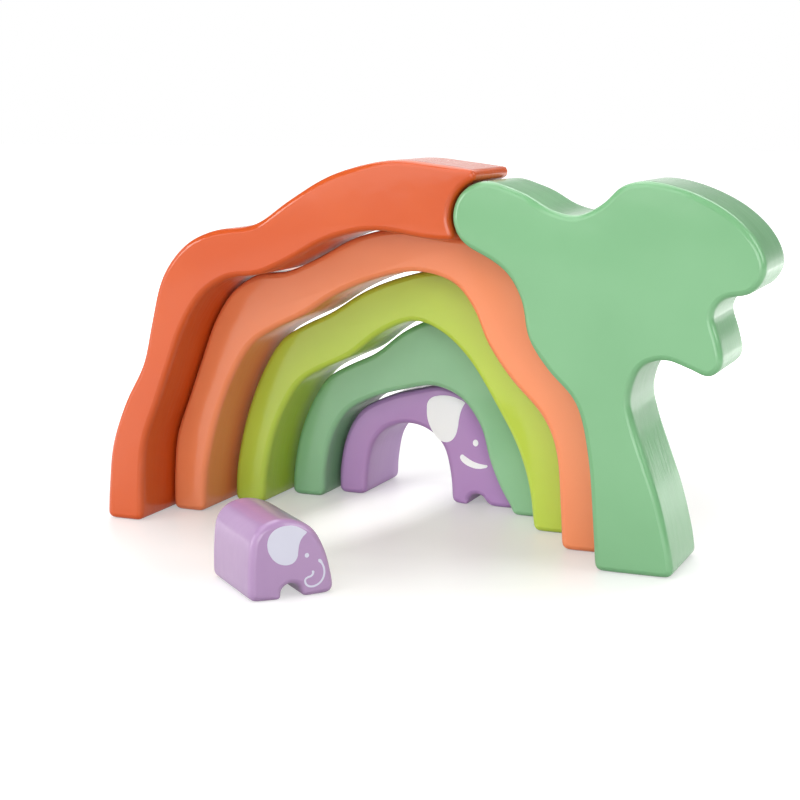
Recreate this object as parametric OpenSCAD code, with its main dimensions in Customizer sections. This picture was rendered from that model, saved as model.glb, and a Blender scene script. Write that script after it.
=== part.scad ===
// Nesting set of seven painted wooden blocks: a hill, a tree, three arches,
// a mother elephant and a baby elephant. Every block is an outline cut from
// a board, with rounded edges. X runs along the set, Y from its front to its
// back and Z up from the table. Outlines are drawn in X and Z.

/* [Board] */
// Thickness of the board that every block is cut from
board_t = 40; // [30:1:60]
// Radius of the rounded edges
edge_r = 2.2; // [1:0.1:3]
// Radius of the corners of the feet
foot_r = 3; // [2:0.1:3.4]
// Radius of a leg's corner beside a notch
mouth_r = 1.5; // [1.3:0.1:2]
// Clearance between hill, tree and peach arch
nest_gap = 0.8; // [0.4:0.1:1.5]

/* [Nest under hill and tree] */
// Width of the space between the hill's foot and the tree's foot
nest_w = 197; // [180:1:220]
// Height of that space
nest_h = 125.5; // [115:0.5:140]

/* [Hill] */
// Width of the hill's foot
hill_foot_w = 17.2; // [12:0.1:24]
// Height of the hill's top over the space below it
hill_top_t = 27; // [22:0.5:34]
// Radius of the two corners at the hill's hollow end
hill_end_r = 2.4; // [2:0.1:3]
// Direction from the middle of the tree's lobe to the hill's tip, in degrees
hill_tip_angle = 113; // [105:1:125]

/* [Tree] */
// Radius of the lobe that the hill's end goes round
lobe_r = 13.5; // [11:0.1:16]
// Length of the crown from the middle of that lobe to its right end
crown_w = 105; // [92:1:120]
// Height of the crown over the space that the tree bounds
crown_rise = 20.7; // [18:0.1:26]
// Width of the tree's foot
tree_foot_w = 30.2; // [24:0.1:38]

/* [Peach arch] */
// Width of the left foot
peach_left_w = 15.5; // [12:0.1:20]
// Width of the right foot
peach_right_w = 19.7; // [15:0.1:24]
// Thickness at the top
peach_top_t = 17; // [13:0.1:21]
// How far the front stands behind the front of hill and tree
peach_back = 24.5; // [0:0.5:60]

/* [Lime arch] */
// Clearance round the lime arch in the peach arch
lime_gap = 1.5; // [0.9:0.1:2]
// How far the lime arch stands to the right of the middle of that clearance
lime_shift = 0.7; // [0:0.1:0.8]
// Width of the left foot
lime_left_w = 14.6; // [12:0.1:18]
// Width of the right foot
lime_right_w = 18.6; // [13:0.1:21]
// Thickness at the top
lime_top_t = 21.6; // [18:0.1:26]
// How far the front stands behind the front of hill and tree
lime_back = 48; // [0:0.5:90]

/* [Green arch] */
// Clearance round the green arch in the lime arch
green_gap = 1.8; // [1.1:0.1:2.4]
// How far the green arch stands to the right of the middle of that clearance
green_shift = 1; // [0:0.1:1]
// Width of the left foot
green_left_w = 16; // [13:0.1:19]
// Width of the right foot
green_right_w = 16.3; // [12:0.1:19]
// Thickness at the top
green_top_t = 29; // [25:0.1:32]
// How far the front stands behind the front of hill and tree
green_back = 70; // [0:0.5:120]

/* [Mother elephant] */
// Clearance round the mother in the green arch
mother_gap = 1.5; // [0.9:0.1:2]
// How far the mother stands to the right of the middle of that clearance
mother_shift = 0.7; // [0:0.1:0.8]
// Width of the hind leg
hind_leg_w = 13.5; // [11:0.1:16]
// Width of the tunnel under the belly
tunnel_w = 41; // [36:0.5:44]
// Height of the tunnel under the belly
tunnel_h = 34.2; // [29:0.1:38]
// Width of the fore leg, up to the notch before the trunk
fore_leg_w = 6.5; // [6.1:0.1:8]
// Height of the notch between fore leg and trunk
trunk_notch_h = 4.8; // [3:0.1:6]
// Radius of that notch
trunk_notch_r = 4; // [3.5:0.1:4.5]
// Radius of the trunk's end beside the notch
trunk_r = 5; // [3:0.1:6]
// How far the front stands behind the front of hill and tree
mother_back = 81; // [0:0.5:140]

/* [Baby elephant] */
// Length from tail to nose
baby_w = 32.5; // [28:0.5:40]
// Height of the back
baby_h = 29.2; // [25:0.1:34]
// Width of the hind leg
baby_leg_w = 10.5; // [9:0.1:12]
// Height of the notch under the belly
belly_notch_h = 5.2; // [3:0.1:6]
// Radius of that notch
belly_notch_r = 4; // [3.5:0.1:4.5]
// Radius of the trunk's end beside the notch
baby_trunk_r = 2; // [1.5:0.1:3]
// Place of the baby to the right of the hill's foot
baby_x = 125.5; // [60:0.5:180]
// Distance of the baby in front of hill and tree
baby_ahead = 75; // [60:0.5:120]
// Turn of the baby about the vertical, in degrees
baby_turn = 48.5; // [0:0.5:90]

/* [Hidden] */

// Points per stretch between two knots, per quarter turn of a corner, per notch,
// per 15 degrees of a wider arc, and bands per rounded edge
knot_steps = 4;
corner_steps = 3;
notch_steps = 8;
arc_step = 15;
edge_bands = 2;
// Share of a tight corner's own radius that its rounded edge may take
edge_share = 0.85;
// Direction in which the hill's top meets the rounding of its tip
tip_top_angle = 66;
// Direction in which the lobe's round part ends and the crown goes on
lobe_end_angle = 70;

// Outlines drawn on a unit square: across from 0 to 1, up from the foot at 0 to the top at 1
// The nest's boundary in two stretches: the first ends where the tree's lobe touches it
nest_hill_knots = [[0, 0], [0.002, 0.114], [0.012, 0.253], [0.045, 0.392], [0.08, 0.539],
    [0.111, 0.661], [0.156, 0.767], [0.217, 0.829], [0.288, 0.845], [0.359, 0.894],
    [0.445, 0.966], [0.542, 1], [0.643, 0.98], [0.704, 0.971], [0.745, 0.951]];
nest_tree_knots = [[0.811, 0.89], [0.846, 0.8], [0.861, 0.686], [0.902, 0.588],
    [0.958, 0.49], [0.983, 0.327], [0.994, 0.139], [1, 0]];
hill_knots = [[0, 0], [0.005, 0.074], [0.019, 0.194], [0.061, 0.318], [0.116, 0.428],
    [0.143, 0.542], [0.177, 0.672], [0.243, 0.763], [0.329, 0.807], [0.438, 0.825],
    [0.53, 0.89], [0.645, 0.96], [0.791, 1], [0.913, 0.991]];
crown_knots = [[0.144, 0.962], [0.235, 0.926], [0.335, 0.912], [0.425, 0.941],
    [0.496, 0.987], [0.591, 1], [0.724, 0.979], [0.862, 0.931], [0.962, 0.863],
    [1, 0.79], [0.952, 0.734], [0.862, 0.717], [0.825, 0.674], [0.85, 0.611],
    [0.862, 0.554], [0.815, 0.523], [0.739, 0.542], [0.658, 0.558], [0.577, 0.534],
    [0.542, 0.458]];
trunk_knots = [[0.124, 0.828], [0.39, 0.619], [0.689, 0.383], [0.915, 0.141], [1, 0]];
peach_knots = [[0, 0], [0.003, 0.105], [0.019, 0.239], [0.047, 0.387], [0.09, 0.544],
    [0.147, 0.678], [0.215, 0.748], [0.303, 0.812], [0.39, 0.896], [0.49, 0.96],
    [0.608, 1], [0.708, 0.965], [0.764, 0.869], [0.802, 0.74], [0.864, 0.608],
    [0.945, 0.478], [0.983, 0.339], [0.995, 0.134], [1, 0]];
lime_knots = [[0, 0], [0.006, 0.123], [0.029, 0.3], [0.077, 0.484], [0.145, 0.641],
    [0.237, 0.727], [0.34, 0.801], [0.444, 0.923], [0.567, 1], [0.675, 0.946],
    [0.771, 0.814], [0.858, 0.613], [0.938, 0.398], [0.982, 0.196], [1, 0]];
green_knots = [[0, 0], [0.004, 0.197], [0.042, 0.482], [0.131, 0.728], [0.286, 0.874],
    [0.452, 0.957], [0.596, 1], [0.74, 0.904], [0.839, 0.675], [0.884, 0.404],
    [0.939, 0.177], [1, 0]];
tunnel_knots = [[0, 0], [0.012, 0.256], [0.075, 0.641], [0.236, 0.897], [0.479, 1],
    [0.723, 0.929], [0.903, 0.705], [0.981, 0.321], [1, 0]];
baby_knots = [[0, 0], [0.006, 0.354], [0.04, 0.73], [0.165, 0.93], [0.37, 1],
    [0.6, 0.945], [0.785, 0.79], [0.91, 0.492], [0.974, 0.197], [1, 0]];

// Curves
function flipped(list) = [for (i = [len(list) - 1 : -1 : 0]) list[i]];
function part_of(list, from, to) = [for (i = [from : to]) list[i]];
function stretched(knots, left, right, low, high) =
    [for (k = knots) [left + k.x * (right - left), low + k.y * (high - low)]];
function curve_point(a, b, c, d, t) =
    (2 * b + (c - a) * t + (2 * a - 5 * b + 4 * c - d) * t * t
        + (3 * b - a - 3 * c + d) * t * t * t) / 2;
// Smooth curve through every knot
function curve(knots) =
    let (last = len(knots) - 1)
    [for (i = [0 : last - 1], k = [0 : knot_steps - 1])
        curve_point(
            i > 0 ? knots[i - 1] : 2 * knots[0] - knots[1],
            knots[i],
            knots[i + 1],
            i < last - 1 ? knots[i + 2] : 2 * knots[last] - knots[last - 1],
            k / knot_steps),
        knots[last]];
function on_circle(middle, r, angle) = middle + r * [cos(angle), sin(angle)];
// Points along an arc, without its two ends
function arc_inside(middle, r, from, to, steps) =
    [for (i = [1 : steps - 1]) on_circle(middle, r, from + (to - from) * i / steps)];
function arc(middle, r, from, to) =
    let (steps = max(2, ceil(abs(to - from) / arc_step)))
    [for (i = [0 : steps]) on_circle(middle, r, from + (to - from) * i / steps)];
function angle_of(v) = atan2(v.y, v.x);

// Directions along an open curve that runs from left to right
function tangent(path, i) =
    let (d = path[min(i + 1, len(path) - 1)] - path[max(i - 1, 0)])
    d / norm(d);
function outward(path, i) = let (t = tangent(path, i)) [-t.y, t.x];
// The curve moved inwards by a gap, and then to the right
function nested(path, gap, shift = 0) =
    [for (i = [0 : len(path) - 1]) path[i] - gap * outward(path, i) + [shift, 0]];

// Underside of a foot from left to right, with or without a notch between two legs
function left_corner(x) = arc_inside([x + foot_r, foot_r], foot_r, 180, 270, corner_steps);
function right_corner(x) = arc_inside([x - foot_r, foot_r], foot_r, 270, 360, corner_steps);
function foot(left, right) =
    concat(left_corner(left), [[left + foot_r, 0], [right - foot_r, 0]], right_corner(right));
// A round notch whose mouth is rounded on both sides, and how far its middle lies from one side
function notch_reach(r, corner_r, height) = sqrt(height * (2 * (r + corner_r) - height));
function notch(from, height, r, left_r, right_r) =
    let (
        left = [from, left_r],
        top = [from + notch_reach(r, left_r, height), height - r],
        right = [top.x + notch_reach(r, right_r, height), right_r],
        left_lean = angle_of(top - left),
        right_lean = angle_of(right - top))
    concat(
        [[left.x, 0]],
        arc_inside(left, left_r, -90, left_lean, corner_steps),
        [on_circle(left, left_r, left_lean)],
        arc_inside(top, r, 180 + left_lean, right_lean, notch_steps),
        [on_circle(right, right_r, 180 + right_lean)],
        arc_inside(right, right_r, 180 + right_lean, 270, corner_steps),
        [[right.x, 0]]);
function notched_feet(left, right, leg, height, r, front_r) =
    concat(left_corner(left), [[left + foot_r, 0]], notch(left + leg, height, r, mouth_r, front_r),
        [[right - foot_r, 0]], right_corner(right));

// Boundaries between the nested blocks, from left foot to right foot
nest_left = hill_foot_w;
nest_right = nest_left + nest_w;
nest_curve = curve(stretched(concat(nest_hill_knots, nest_tree_knots),
    nest_left, nest_right, foot_r, nest_h));
peach_opening_left = nest_left + nest_gap + peach_left_w;
peach_opening_right = nest_right - nest_gap - peach_right_w;
peach_opening_h = nest_h - nest_gap - peach_top_t;
peach_curve = curve(stretched(peach_knots, peach_opening_left, peach_opening_right,
    foot_r, peach_opening_h));
lime_opening_left = peach_opening_left + lime_gap + lime_shift + lime_left_w;
lime_opening_right = peach_opening_right - lime_gap + lime_shift - lime_right_w;
lime_opening_h = peach_opening_h - lime_gap - lime_top_t;
lime_curve = curve(stretched(lime_knots, lime_opening_left, lime_opening_right,
    foot_r, lime_opening_h));
green_opening_left = lime_opening_left + green_gap + green_shift + green_left_w;
green_opening_right = lime_opening_right - green_gap + green_shift - green_right_w;
green_opening_h = lime_opening_h - green_gap - green_top_t;
green_curve = curve(stretched(green_knots, green_opening_left, green_opening_right,
    foot_r, green_opening_h));

// The tree's lobe touches the nest's boundary, and the hill's hollow end goes round the lobe
lobe_start = (len(nest_hill_knots) - 1) * knot_steps;
lobe_middle = nest_curve[lobe_start] + lobe_r * outward(nest_curve, lobe_start);
hollow_r = lobe_r + nest_gap;
tip_middle = on_circle(lobe_middle, hollow_r + hill_end_r, hill_tip_angle);
// Last point of the nest's boundary under the hill, where the hill's lower corner still clears the lobe
corner_middles = nested(nest_curve, -hill_end_r);
corner_point = max([for (i = [0 : lobe_start])
    if (norm(corner_middles[i] - lobe_middle) >= hollow_r + hill_end_r) i]);
corner_middle = lobe_middle
    + (hollow_r + hill_end_r) * (corner_middles[corner_point] - lobe_middle)
        / norm(corner_middles[corner_point] - lobe_middle);

// Outlines, each counter-clockwise as seen from the front
function arch_outline(outer, inner) =
    concat(inner, foot(inner[len(inner) - 1].x, outer[len(outer) - 1].x),
        flipped(outer), foot(outer[0].x, inner[0].x));
function hill_outline() =
    let (
        tip_end = on_circle(tip_middle, hill_end_r, tip_top_angle),
        outer = curve(concat(
            stretched(hill_knots, 0, tip_end.x, foot_r, nest_h + hill_top_t), [tip_end])),
        to_lobe = angle_of(lobe_middle - corner_middle),
        down = angle_of(-outward(nest_curve, corner_point)))
    concat(
        part_of(nest_curve, 0, corner_point - 1),
        arc(corner_middle, hill_end_r, down, to_lobe),
        arc_inside(lobe_middle, hollow_r, to_lobe + 180, hill_tip_angle, 8),
        arc(tip_middle, hill_end_r, hill_tip_angle - 180, tip_top_angle),
        part_of(flipped(outer), 1, len(outer) - 1),
        foot(0, nest_left));
function tree_outline() =
    let (
        tree_h = nest_h + crown_rise,
        foot_right = nest_right + tree_foot_w,
        lobe_end = on_circle(lobe_middle, lobe_r, lobe_end_angle),
        crown = stretched(crown_knots, lobe_middle.x, lobe_middle.x + crown_w, 0, tree_h),
        waist = crown[len(crown) - 1],
        trunk = stretched(trunk_knots, waist.x, foot_right, foot_r, waist.y),
        right_side = curve(concat([lobe_end], crown, trunk)),
        lobe_start_angle = angle_of(nest_curve[lobe_start] - lobe_middle) + 360)
    concat(
        foot(nest_right, foot_right),
        flipped(right_side),
        arc_inside(lobe_middle, lobe_r, lobe_end_angle, lobe_start_angle, 12),
        part_of(nest_curve, lobe_start, len(nest_curve) - 1));
function mother_outline() =
    let (
        outer = nested(green_curve, mother_gap, mother_shift),
        tunnel_left = outer[0].x + hind_leg_w,
        tunnel_right = tunnel_left + tunnel_w,
        tunnel = curve(stretched(tunnel_knots, tunnel_left, tunnel_right, foot_r, tunnel_h)))
    concat(
        tunnel,
        notched_feet(tunnel_right, outer[len(outer) - 1].x, fore_leg_w,
            trunk_notch_h, trunk_notch_r, trunk_r),
        flipped(outer),
        foot(outer[0].x, tunnel_left));
function baby_outline() =
    concat(
        notched_feet(-baby_w / 2, baby_w / 2, baby_leg_w, belly_notch_h, belly_notch_r, baby_trunk_r),
        flipped(curve(stretched(baby_knots, -baby_w / 2, baby_w / 2, foot_r, baby_h))));

// A block cut to an outline, with rounded edges on its front and back
function at(list, i) = list[(i + len(list)) % len(list)];
function cross_of(a, b) = a.x * b.y - a.y * b.x;
// Radius of the outward bend at a point of the outline, or the full edge radius where it bends in
function bend_room(outline, i) =
    let (
        a = at(outline, i) - at(outline, i - 1),
        b = at(outline, i + 1) - at(outline, i),
        turn = atan2(cross_of(a, b), a * b) * PI / 180)
    turn > 0 ? edge_share * min(norm(a), norm(b)) / turn : edge_r;
function edge_at(outline, i) =
    min([edge_r, for (k = [-1 : 1]) bend_room(outline, i + k)]);
function inward_at(outline, i) =
    let (d = at(outline, i + 1) - at(outline, i - 1))
    [-d.y, d.x] / norm(d);
// Ring of points at an angle round the edge: 0 on the face, 90 on the side
function edge_ring(outline, angle, front) =
    [for (i = [0 : len(outline) - 1])
        let (
            r = edge_at(outline, i),
            p = outline[i] + r * (1 - sin(angle)) * inward_at(outline, i),
            depth = r * (1 - cos(angle)))
        [p.x, front ? depth : board_t - depth, p.y]];
function block_rings(outline) =
    concat(
        [for (k = [0 : edge_bands]) edge_ring(outline, 90 * k / edge_bands, true)],
        [for (k = [edge_bands : -1 : 0]) edge_ring(outline, 90 * k / edge_bands, false)]);
function joined(lists) = [for (l = lists) for (p = l) p];

// Triangles that fill an outline, found by cutting off one corner after another
function turn_of(p, a, b, c) = cross_of(p[b] - p[a], p[c] - p[b]);
function covers(p, a, b, c, q) =
    turn_of(p, a, b, q) >= 0 && turn_of(p, b, c, q) >= 0 && turn_of(p, c, a, q) >= 0;
function can_cut(p, left, i) =
    let (a = at(left, i - 1), b = left[i], c = at(left, i + 1))
    turn_of(p, a, b, c) > 0
        && len([for (q = left) if (q != a && q != b && q != c && covers(p, a, b, c, q)) q]) == 0;
function next_cut(p, left, i) =
    i >= len(left) - 1 || can_cut(p, left, i) ? i : next_cut(p, left, i + 1);
function triangles(p, left, done = []) =
    len(left) == 3
        ? concat(done, [left])
        : let (i = next_cut(p, left, 0))
            triangles(p, [for (k = [0 : len(left) - 1]) if (k != i) left[k]],
                concat(done, [[at(left, i - 1), left[i], at(left, i + 1)]]));

module wooden_block(outline) {
    rings = block_rings(outline);
    n = len(outline);
    last = len(rings) - 1;
    face = [for (p = rings[0]) [p.x, p.z]];
    fill = triangles(face, [for (i = [0 : n - 1]) i]);
    front_faces = [for (t = fill) [t[0], t[2], t[1]]];
    back_faces = [for (t = fill) [for (i = t) last * n + i]];
    side_faces = [for (k = [0 : last - 1], i = [0 : n - 1])
        let (
            a = k * n + i,
            b = k * n + (i + 1) % n,
            c = b + n,
            d = a + n)
        each [[a, b, c], [a, c, d]]];
    polyhedron(joined(rings), concat(front_faces, side_faces, back_faces));
}

// The middle of the whole set on the table is the origin
function baby_corner_ys() =
    [for (p = joined(block_rings(baby_outline())))
        p.x * sin(baby_turn) + p.y * cos(baby_turn) - baby_ahead];
set_left = min([for (p = hill_outline()) p.x]);
set_right = max([for (p = tree_outline()) p.x]);
set_front = min(baby_corner_ys());
set_back = board_t + max(peach_back, lime_back, green_back, mother_back);
middle = [(set_left + set_right) / 2, (set_front + set_back) / 2, 0];

module hill_block() {
    color([0.9, 0.43, 0.26])
        translate(-middle)
            wooden_block(hill_outline());
}

module tree_block() {
    color([0.56, 0.78, 0.58])
        translate(-middle)
            wooden_block(tree_outline());
}

module peach_arch() {
    color([0.89, 0.63, 0.47])
        translate([0, peach_back, 0] - middle)
            wooden_block(arch_outline(nested(nest_curve, nest_gap), peach_curve));
}

module lime_arch() {
    color([0.72, 0.82, 0.37])
        translate([0, lime_back, 0] - middle)
            wooden_block(arch_outline(nested(peach_curve, lime_gap, lime_shift), lime_curve));
}

module green_arch() {
    color([0.56, 0.73, 0.6])
        translate([0, green_back, 0] - middle)
            wooden_block(arch_outline(nested(lime_curve, green_gap, green_shift), green_curve));
}

module mother_elephant() {
    color([0.69, 0.53, 0.73])
        translate([0, mother_back, 0] - middle)
            wooden_block(mother_outline());
}

module baby_elephant() {
    color([0.74, 0.6, 0.78])
        translate([baby_x, -baby_ahead, 0] - middle)
            rotate([0, 0, baby_turn])
                wooden_block(baby_outline());
}

hill_block();
tree_block();
peach_arch();
lime_arch();
green_arch();
mother_elephant();
baby_elephant();
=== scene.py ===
import math

import bmesh
import bpy
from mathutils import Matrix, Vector


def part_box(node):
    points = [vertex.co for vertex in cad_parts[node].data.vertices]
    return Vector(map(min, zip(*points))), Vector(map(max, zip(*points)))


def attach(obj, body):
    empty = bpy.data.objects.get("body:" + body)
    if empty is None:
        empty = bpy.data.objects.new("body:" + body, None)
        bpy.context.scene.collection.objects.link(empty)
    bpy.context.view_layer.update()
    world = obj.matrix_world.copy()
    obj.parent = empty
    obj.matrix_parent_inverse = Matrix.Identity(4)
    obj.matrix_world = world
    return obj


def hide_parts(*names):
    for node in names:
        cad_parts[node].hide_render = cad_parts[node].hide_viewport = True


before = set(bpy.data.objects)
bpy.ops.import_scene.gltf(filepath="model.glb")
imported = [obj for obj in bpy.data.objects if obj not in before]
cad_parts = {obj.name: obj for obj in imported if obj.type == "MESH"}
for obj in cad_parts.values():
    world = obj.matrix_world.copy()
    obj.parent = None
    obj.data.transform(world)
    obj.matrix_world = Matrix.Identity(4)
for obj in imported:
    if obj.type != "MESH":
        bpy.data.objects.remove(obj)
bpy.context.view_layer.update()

# Wood: sizes in metres, and how its sides are smoothed
BOARD = 0.04
FACE_BORDER = 0.0001  # flat rim round each face
SIDE_LINE = 0.003  # from a face to just past its rounded edge
LONG_EDGE = 0.006  # a longer stretch of outline is divided
LONG_EDGE_CUTS = 3
SMOOTH_LEVELS = 2
SAME_PLACE = 0.00001  # points this close count as one
SQUARE_ON = 0.9999  # least cosine of a face's normal with straight ahead
BABY_TURN = math.radians(48.5)
AHEAD = Vector((0, -1, 0))
BABY_AHEAD = Vector((math.sin(BABY_TURN), -math.cos(BABY_TURN), 0))

# Printed paint: its thickness in metres, and its outlines in millimetres
PAINT_PROUD = 0.00012  # above the wood
PAINT_SUNK = 0.0003  # below the wood's surface
MM_IN_METRE = 1000
FIRST_RING = 0.01  # radius before the points go to their knots
OUTLINE_STEPS = 6  # from one knot to the next
OVAL_KNOTS = 10
TRUNK_LINE = 0.7
MOTHER_EAR = [
    (43.1, 41.5), (43.4, 44.4), (45.2, 46.7), (48, 47.8), (51.5, 48.2), (55, 47.9), (58.4, 46.9),
    (60.7, 45.8), (61, 45.4), (60.7, 44.9), (59.3, 42.2), (58.2, 38), (57.6, 34), (56.3, 30.2),
    (54.2, 28), (52, 27.4), (49.6, 28), (46.8, 30.5), (44.4, 34.4), (43.3, 38),
]
MOTHER_TUSK = [
    (58.9, 21.6), (59.8, 22.5), (61, 21.9), (64.2, 20.1), (67.2, 19.1), (70.2, 18.7), (71.5, 18.5),
    (71.6, 18), (69.8, 17.1), (66.8, 16.7), (63.8, 17.2), (60.9, 18.5), (59.2, 20.1),
]
BABY_EAR = [
    (5.6, 23.8), (5.1, 24.3), (3.9, 25.1), (1.6, 26.3), (-1.6, 26.9), (-4.8, 26.6), (-7.6, 25.1),
    (-9.2, 22.5), (-9.4, 19.5), (-8.3, 16.5), (-6.4, 14.2), (-4, 12.9), (-1.6, 12.6), (0.5, 13.3),
    (1.8, 15), (2.2, 17.4), (2.7, 19.9), (3.8, 22), (5.3, 23.4),
]
BABY_TRUNK = [
    (10.1, 13.2), (11.4, 11.5), (12.1, 9.4), (12, 7.1), (11, 5.2), (9.3, 4), (7.3, 3.6),
    (5.6, 4.2), (4.8, 5.4), (4.9, 6.6), (5.9, 7.2), (7, 7.5), (7.7, 8.2), (7.8, 9.3),
]

# Patterns in the paint: ripples to the metre across the set, along the boards' thickness and up
PAINT_CLOUDS = (22, 60, 22)
SANDING_LINES = (90, 600, 90)
PRINT_CLOUDS = (90, 90, 90)
PRINT_DOTS = (1500, 1500, 1500)

# Floor and backdrop
FLOOR_SIZE = 12
FLOOR_GREY = (184, 183, 182)
UNDER_ARCHES = (-0.02, 0.085, 0)
STREAK_PLACE = (-0.036, 0.035, 0)
STREAK_TURN = math.radians(-8)
STREAK_REACH = (0.03, 0.1, 1)  # half its width and half its length
BACKDROP_RISE = (0.4, 0, 1)  # leaning, so that the left reaches higher
WHITE = (1, 1, 1, 1)

# Camera, from the lower left corner of the hill's front
CAMERA_RIGHT = 0.379
CAMERA_BACK = 0.5823
CAMERA_UP = 0.172
CAMERA_TILT = math.radians(79.96)
CAMERA_TURN = math.radians(22.7)
CAMERA_SENSOR = 36
CAMERA_LENS = 74.23


# Hand tools

def pick(obj):
    bpy.ops.object.select_all(action="DESELECT")
    obj.select_set(True)
    bpy.context.view_layer.objects.active = obj


def edit(obj):
    pick(obj)
    bpy.ops.object.mode_set(mode="EDIT")


def leave():
    bpy.ops.object.mode_set(mode="OBJECT")


def select(obj, kind, test):
    """Selects the edges or the faces that pass a test."""
    mesh = bmesh.from_edit_mesh(obj.data)
    bpy.ops.mesh.select_all(action="DESELECT")
    bpy.ops.mesh.select_mode(type=kind)
    items = mesh.edges if kind == "EDGE" else mesh.faces
    for item in items:
        item.select_set(test(item))
    bmesh.update_edit_mesh(obj.data)


def turn_outwards():
    """Turns all faces of the mesh in edit mode to point outwards."""
    bpy.ops.mesh.select_all(action="SELECT")
    bpy.ops.mesh.normals_make_consistent(inside=False)


def smooth_loop(obj):
    """Turns a closed loop of edges into a smooth one through the same points."""
    pick(obj)
    bpy.ops.object.convert(target="CURVE")
    edit(obj)
    bpy.ops.curve.select_all(action="SELECT")
    bpy.ops.curve.spline_type_set(type="BEZIER")
    bpy.ops.curve.handle_type_set(type="AUTOMATIC")
    leave()
    obj.data.resolution_u = OUTLINE_STEPS
    bpy.ops.object.convert(target="MESH")


# Blocks

def board_middle(node, ahead):
    """How far ahead the middle of a block's board lies."""
    reach = [v.co.dot(ahead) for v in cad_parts[node].data.vertices]
    return (min(reach) + max(reach)) / 2


def wooden_block(name, node, body, ahead, paint):
    """A block sawn from the board, with the facets of its sides and edges smoothed away."""
    middle = board_middle(node, ahead)

    def on_face(point):
        return abs(abs(point.dot(ahead) - middle) - BOARD / 2) < SAME_PLACE

    def is_face(face):
        return abs(face.normal.dot(ahead)) > SQUARE_ON and on_face(face.calc_center_median())

    def is_long(edge):
        through = abs((edge.verts[0].co - edge.verts[1].co).dot(ahead))
        return edge.calc_length() > LONG_EDGE and through < edge.calc_length() / 2

    obj = bpy.data.objects.new(name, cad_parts[node].data.copy())
    bpy.context.scene.collection.objects.link(obj)
    obj.data.materials.clear()
    edit(obj)
    bpy.ops.mesh.select_all(action="SELECT")
    bpy.ops.mesh.remove_doubles(threshold=SAME_PLACE)
    select(obj, "FACE", is_face)
    bpy.ops.mesh.dissolve_faces()
    bpy.ops.mesh.select_all(action="SELECT")
    bpy.ops.mesh.tris_convert_to_quads(face_threshold=math.pi, shape_threshold=math.pi)

    # A narrow flat border on both faces, and a line along each side just past its rounded edge
    select(obj, "FACE", is_face)
    bpy.ops.mesh.inset(thickness=FACE_BORDER)
    bpy.ops.mesh.delete(type="FACE")
    for way in (1, -1):
        bpy.ops.mesh.select_all(action="SELECT")
        bpy.ops.mesh.bisect(
            plane_co=ahead * (middle + way * (BOARD / 2 - SIDE_LINE)),
            plane_no=ahead,
        )
    select(obj, "EDGE", is_long)
    bpy.ops.mesh.subdivide(number_cuts=LONG_EDGE_CUTS)
    leave()
    smooth = obj.modifiers.new("smooth", "SUBSURF")
    smooth.levels = SMOOTH_LEVELS
    smooth.render_levels = SMOOTH_LEVELS
    bpy.ops.object.modifier_apply(modifier="smooth")

    # Both faces closed again
    for way in (1, -1):
        edit(obj)
        select(
            obj,
            "EDGE",
            lambda edge: edge.is_boundary and (edge.verts[0].co.dot(ahead) - middle) * way > 0,
        )
        bpy.ops.mesh.edge_face_add()
        leave()
    edit(obj)
    turn_outwards()
    leave()
    bpy.ops.object.shade_smooth()
    obj.data.materials.append(paint)
    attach(obj, body)
    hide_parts(node)


# Paint on the faces

def painted_shape(name, knots, corner, turn, body, paint):
    """A flat patch of paint on a face. Knots are across and up, in millimetres from the corner."""
    bpy.ops.object.select_all(action="DESELECT")
    bpy.ops.mesh.primitive_circle_add(vertices=len(knots), radius=FIRST_RING)
    obj = bpy.context.object
    obj.name = name
    for vertex, (across, up) in zip(obj.data.vertices, knots):
        vertex.co = (across / MM_IN_METRE, -PAINT_PROUD, up / MM_IN_METRE)
    smooth_loop(obj)
    edit(obj)
    bpy.ops.mesh.select_all(action="SELECT")
    bpy.ops.mesh.edge_face_add()
    bpy.ops.mesh.extrude_region_move(
        TRANSFORM_OT_translate={"value": (0, PAINT_PROUD + PAINT_SUNK, 0)}
    )
    turn_outwards()
    leave()
    obj.location = corner
    obj.rotation_euler = (0, 0, turn)
    pick(obj)
    bpy.ops.object.transform_apply(location=True, rotation=True, scale=True)
    obj.data.materials.append(paint)
    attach(obj, body)


def oval(across, up, width, height):
    """Knots of an upright oval."""
    turns = [2 * math.pi * i / OVAL_KNOTS for i in range(OVAL_KNOTS)]
    return [(across + width / 2 * math.cos(t), up + height / 2 * math.sin(t)) for t in turns]


def brush_line(knots, width):
    """Knots round a line drawn with a brush of that width."""
    left = []
    right = []
    last = len(knots) - 1
    for i in range(last + 1):
        before = Vector(knots[max(i - 1, 0)])
        after = Vector(knots[min(i + 1, last)])
        along = (after - before).normalized()
        side = Vector((-along.y, along.x)) * width / 2
        here = Vector(knots[i])
        left.append(tuple(here + side))
        right.append(tuple(here - side))
    return left + right[::-1]


# Parts of materials

def linear(red, green, blue):
    """A screen colour, from 0 to 255, in linear light."""
    def channel(value):
        value = value / 255
        return value / 12.92 if value <= 0.04045 else ((value + 0.055) / 1.055) ** 2.4
    return (channel(red), channel(green), channel(blue), 1)


def new_material(name):
    material = bpy.data.materials.new(name)
    material.use_nodes = True
    graph = material.node_tree
    return material, graph, graph.nodes["Principled BSDF"]


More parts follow.
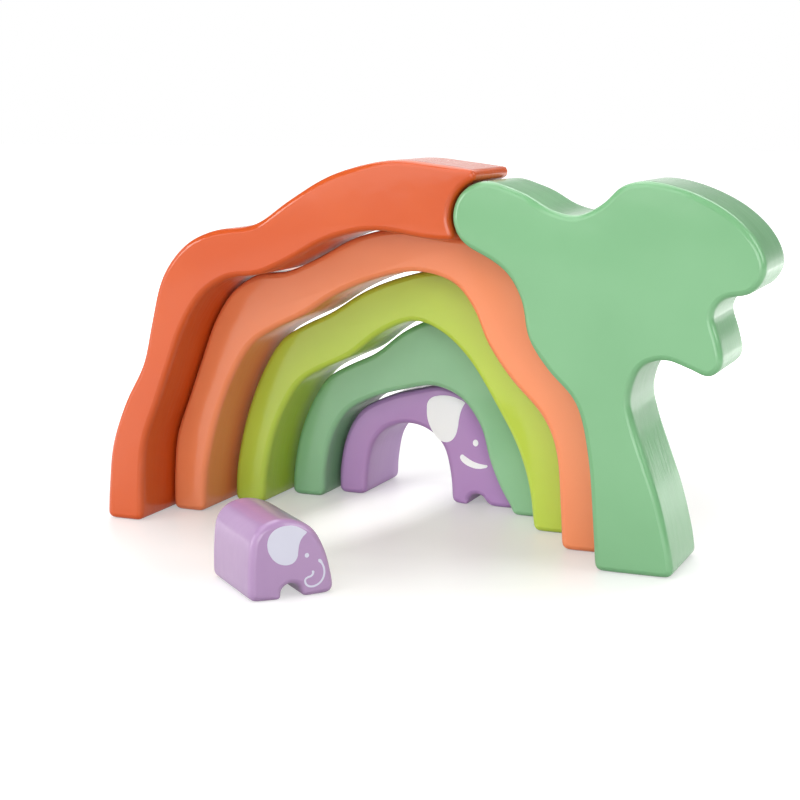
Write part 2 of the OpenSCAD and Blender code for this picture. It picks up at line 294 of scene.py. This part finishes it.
def stretched_noise(graph, coords, scale, turn=0, detail=3):
    """Noise on object coordinates, stretched by a different amount along each axis."""
    mapping = graph.nodes.new("ShaderNodeMapping")
    mapping.inputs["Rotation"].default_value = (0, 0, -turn)
    mapping.inputs["Scale"].default_value = scale
    noise = graph.nodes.new("ShaderNodeTexNoise")
    noise.inputs["Scale"].default_value = 1
    noise.inputs["Detail"].default_value = detail
    graph.links.new(coords.outputs["Object"], mapping.inputs["Vector"])
    graph.links.new(mapping.outputs["Vector"], noise.inputs["Vector"])
    return noise.outputs["Fac"]


def spread(graph, value, start, end, low=0, high=1, curve="LINEAR"):
    """What lies between start and end, spread over low to high and held there beyond."""
    node = graph.nodes.new("ShaderNodeMapRange")
    node.interpolation_type = curve
    node.inputs["From Min"].default_value = start
    node.inputs["From Max"].default_value = end
    node.inputs["To Min"].default_value = low
    node.inputs["To Max"].default_value = high
    graph.links.new(value, node.inputs["Value"])
    return node.outputs["Result"]


def combine(graph, operation, first, second):
    """The sum, the product or the larger of two values."""
    node = graph.nodes.new("ShaderNodeMath")
    node.operation = operation
    graph.links.new(first, node.inputs[0])
    graph.links.new(second, node.inputs[1])
    return node.outputs["Value"]


def measure(graph, operation, place, other=(0, 0, 0)):
    """A place's length, its distance from another place or its reach along a direction."""
    node = graph.nodes.new("ShaderNodeVectorMath")
    node.operation = operation
    node.inputs[1].default_value = other
    graph.links.new(place, node.inputs[0])
    return node.outputs["Value"]


def two_tones(graph, share, colour, deep):
    """A colour that goes over into a deeper one."""
    tint = graph.nodes.new("ShaderNodeMix")
    tint.data_type = "RGBA"
    tint.inputs["A"].default_value = linear(*colour)
    tint.inputs["B"].default_value = linear(*deep)
    graph.links.new(share, tint.inputs["Factor"])
    return tint.outputs["Result"]


def relief(graph, height, strength, depth):
    """Fine bumps of a depth in metres."""
    bump = graph.nodes.new("ShaderNodeBump")
    bump.inputs["Strength"].default_value = strength
    bump.inputs["Distance"].default_value = depth
    graph.links.new(height, bump.inputs["Height"])
    return bump.outputs["Normal"]


def seen_by_eye(graph):
    """1 where light is seen straight, mirrored or through glass, 0 where it only falls on things."""
    path = graph.nodes.new("ShaderNodeLightPath")
    mirrored = combine(graph, "MAXIMUM", path.outputs["Is Camera Ray"], path.outputs["Is Glossy Ray"])
    return combine(graph, "MAXIMUM", mirrored, path.outputs["Is Transmission Ray"])


# Materials

def painted_wood(name, colour, deep, turn=0):
    """Satin paint over sanded wood: faint clouds in the colour, and sanding lines along the sides."""
    material, graph, shader = new_material(name)
    coords = graph.nodes.new("ShaderNodeTexCoord")
    clouds = stretched_noise(graph, coords, PAINT_CLOUDS, turn)
    tint = two_tones(graph, spread(graph, clouds, start=0.35, end=0.75), colour, deep)
    graph.links.new(tint, shader.inputs["Base Color"])

    lines = stretched_noise(graph, coords, SANDING_LINES, turn)
    roughness = spread(graph, lines, start=0.3, end=0.7, low=0.42, high=0.54)
    graph.links.new(roughness, shader.inputs["Roughness"])
    sanded = relief(graph, lines, strength=0.25, depth=0.0004)
    graph.links.new(sanded, shader.inputs["Normal"])
    graph.links.new(sanded, shader.inputs["Coat Normal"])

    # Less varnish on the undersides
    facing = graph.nodes.new("ShaderNodeSeparateXYZ")
    graph.links.new(coords.outputs["Normal"], facing.inputs["Vector"])
    varnish = spread(graph, facing.outputs["Z"], start=-0.5, end=0, low=0.3, high=0.8)
    graph.links.new(varnish, shader.inputs["Coat Weight"])
    shader.inputs["Coat Roughness"].default_value = 0.12
    shader.inputs["Specular IOR Level"].default_value = 0.15
    return material


def white_print(name, colour, deep):
    """Thin white paint printed on a face, a little uneven where it lies over the colour below."""
    material, graph, shader = new_material(name)
    coords = graph.nodes.new("ShaderNodeTexCoord")
    clouds = stretched_noise(graph, coords, PRINT_CLOUDS)
    graph.links.new(two_tones(graph, clouds, colour, deep), shader.inputs["Base Color"])
    dots = stretched_noise(graph, coords, PRINT_DOTS, detail=2)
    graph.links.new(relief(graph, dots, strength=0.06, depth=0.0001), shader.inputs["Normal"])
    shader.inputs["Roughness"].default_value = 0.42
    return material


def floor_paper():
    """Pale grey, lifted where it is seen: it keeps soft shadows and runs out into plain white."""
    material, graph, shader = new_material("floor_paper")
    shader.inputs["Base Color"].default_value = linear(*FLOOR_GREY)
    shader.inputs["Roughness"].default_value = 0.38
    coords = graph.nodes.new("ShaderNodeTexCoord")

    # Lifted least under the arches: painted shade on the floor there, on top of the arches' real
    # shadows
    away = measure(graph, "DISTANCE", coords.outputs["Object"], UNDER_ARCHES)
    arch_shade_lift = spread(graph, away, start=0.11, end=0.31, low=0.33)

    # A streak of light in front of the mother's tunnel
    in_streak = graph.nodes.new("ShaderNodeMapping")
    in_streak.vector_type = "TEXTURE"
    in_streak.inputs["Location"].default_value = STREAK_PLACE
    in_streak.inputs["Rotation"].default_value = (0, 0, STREAK_TURN)
    in_streak.inputs["Scale"].default_value = STREAK_REACH
    graph.links.new(coords.outputs["Object"], in_streak.inputs["Vector"])
    off_streak = measure(graph, "LENGTH", in_streak.outputs["Vector"])
    streak = spread(graph, off_streak, start=0.2, end=1, low=0.38, high=0, curve="SMOOTHSTEP")

    lift = combine(graph, "MULTIPLY", seen_by_eye(graph), combine(graph, "ADD", arch_shade_lift, streak))
    glow = graph.nodes.new("ShaderNodeEmission")
    graph.links.new(lift, glow.inputs["Strength"])
    both = graph.nodes.new("ShaderNodeAddShader")
    graph.links.new(shader.outputs["BSDF"], both.inputs[0])
    graph.links.new(glow.outputs["Emission"], both.inputs[1])
    graph.links.new(both.outputs["Shader"], graph.nodes["Material Output"].inputs["Surface"])
    return material


def studio():
    """Dim even light. The paint mirrors a white backdrop that ends low, and higher on the left."""
    world = bpy.data.worlds.new("studio")
    world.use_nodes = True
    graph = world.node_tree
    light = graph.nodes["Background"]
    light.inputs["Color"].default_value = WHITE
    light.inputs["Strength"].default_value = 0.15

    # The backdrop, plain white where the camera sees it
    seen = graph.nodes.new("ShaderNodeBackground")
    seen.inputs["Color"].default_value = WHITE
    coords = graph.nodes.new("ShaderNodeTexCoord")
    rise = measure(graph, "DOT_PRODUCT", coords.outputs["Generated"], BACKDROP_RISE)
    backdrop = spread(graph, rise, start=0.05, end=0.13, low=0.9, high=0.1)
    path = graph.nodes.new("ShaderNodeLightPath")
    strength = combine(graph, "MAXIMUM", backdrop, path.outputs["Is Camera Ray"])
    graph.links.new(strength, seen.inputs["Strength"])

    choose = graph.nodes.new("ShaderNodeMixShader")
    graph.links.new(seen_by_eye(graph), choose.inputs["Fac"])
    graph.links.new(light.outputs["Background"], choose.inputs[1])
    graph.links.new(seen.outputs["Background"], choose.inputs[2])
    graph.links.new(choose.outputs["Shader"], graph.nodes["World Output"].inputs["Surface"])
    return world


hill_orange = painted_wood("hill_orange", (202, 83, 24), (197, 77, 20))
tree_mint = painted_wood("tree_mint", (120, 175, 126), (114, 169, 120))
peach = painted_wood("peach", (238, 139, 90), (234, 132, 83))
lime = painted_wood("lime", (182, 209, 72), (176, 203, 66))
leaf_green = painted_wood("leaf_green", (141, 192, 149), (134, 186, 142))
purple = painted_wood("purple", (181, 140, 196), (175, 133, 191))
lilac = painted_wood("lilac", (168, 136, 176), (162, 129, 171), BABY_TURN)
ear_white = white_print("ear_white", (252, 252, 255), (247, 247, 253))
baby_white = white_print("baby_white", (208, 208, 222), (202, 202, 217))

# The seven blocks
wooden_block("hill_wood", "hill_block", "hill", AHEAD, hill_orange)
wooden_block("tree_wood", "tree_block", "tree", AHEAD, tree_mint)
wooden_block("peach_wood", "peach_arch", "peach", AHEAD, peach)
wooden_block("lime_wood", "lime_arch", "lime", AHEAD, lime)
wooden_block("green_wood", "green_arch", "green", AHEAD, leaf_green)
wooden_block("mother_wood", "mother_elephant", "mother", AHEAD, purple)
wooden_block("baby_wood", "baby_elephant", "baby", BABY_AHEAD, lilac)

# The mother's prints, from the lower left corner of the block's front
mother_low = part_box("mother_elephant")[0]
mother_corner = (mother_low.x, mother_low.y, 0)
mother_prints = {
    "mother_ear": MOTHER_EAR,
    "mother_tusk": MOTHER_TUSK,
    "mother_eye": oval(across=66, up=28.1, width=2.5, height=3),
}
for name, knots in mother_prints.items():
    painted_shape(name, knots, mother_corner, 0, "mother", ear_white)

# The baby's prints, from the middle of the front's lower edge
baby_low, baby_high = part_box("baby_elephant")
baby_middle = (baby_low + baby_high) / 2
baby_face = Vector((baby_middle.x, baby_middle.y, 0)) + BABY_AHEAD * BOARD / 2
baby_prints = {
    "baby_ear": BABY_EAR,
    "baby_eye": oval(across=5.5, up=15.3, width=1.6, height=1.7),
    "baby_trunk": brush_line(BABY_TRUNK, TRUNK_LINE),
}
for name, knots in baby_prints.items():
    painted_shape(name, knots, baby_face, BABY_TURN, "baby", baby_white)

# Floor and world
bpy.ops.object.select_all(action="DESELECT")
bpy.ops.mesh.primitive_plane_add(size=FLOOR_SIZE)
floor = bpy.context.object
floor.name = "floor"
floor.data.materials.append(floor_paper())
bpy.context.scene.world = studio()


# Lamps
SET_MIDDLE = (0, 0, 0.05)


def soft_box(name, place, target, width, height, power):
    """A lamp turned to its target, its width and height in metres and its power in watts."""
    bpy.ops.object.select_all(action="DESELECT")
    bpy.ops.object.light_add(type="AREA", location=place)
    lamp = bpy.context.object
    lamp.name = name
    lamp.data.shape = "RECTANGLE"
    lamp.data.size = width
    lamp.data.size_y = height
    lamp.data.energy = power
    lamp.rotation_euler = (Vector(target) - Vector(place)).to_track_quat("-Z", "Y").to_euler()
    return lamp


soft_box("key_light", (-0.6, -1.25, 0.5), SET_MIDDLE, 1.1, 0.8, 5.4)
soft_box("fill_light", (0.7, -1.3, 0.35), SET_MIDDLE, 0.9, 0.6, 8.4)
soft_box("high_light", (-0.26, -0.8, 1), SET_MIDDLE, 0.9, 0.7, 5.2)
soft_box("side_light", (1.3, 0, 0.75), SET_MIDDLE, 0.8, 0.8, 9)
soft_box("top_light", (-0.2, 0.1, 1.3), SET_MIDDLE, 0.8, 0.8, 7)
soft_box("back_light", (-0.1, 0.95, 0.95), (0, 0.05, 0.05), 1.5, 0.8, 9)
low_light = soft_box("low_light", (0.1, 1, 0.22), (0, 0.05, 0.02), 1.2, 0.4, 8)
soft_box("left_strip", (-1.15, -0.7, 0.35), SET_MIDDLE, 0.3, 0.8, 6)

# Not mirrored in the paint, so that the tops keep their colour
low_light.visible_glossy = False

# Camera at the photograph's place
hill_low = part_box("hill_block")[0]
camera_data = bpy.data.cameras.new("camera")
camera_data.sensor_width = CAMERA_SENSOR
camera_data.lens = CAMERA_LENS
camera = bpy.data.objects.new("camera", camera_data)
bpy.context.scene.collection.objects.link(camera)
camera.location = (hill_low.x + CAMERA_RIGHT, hill_low.y - CAMERA_BACK, CAMERA_UP)
camera.rotation_euler = (CAMERA_TILT, 0, CAMERA_TURN)
bpy.context.scene.camera = camera
bpy.context.scene.view_settings.view_transform = "Standard"
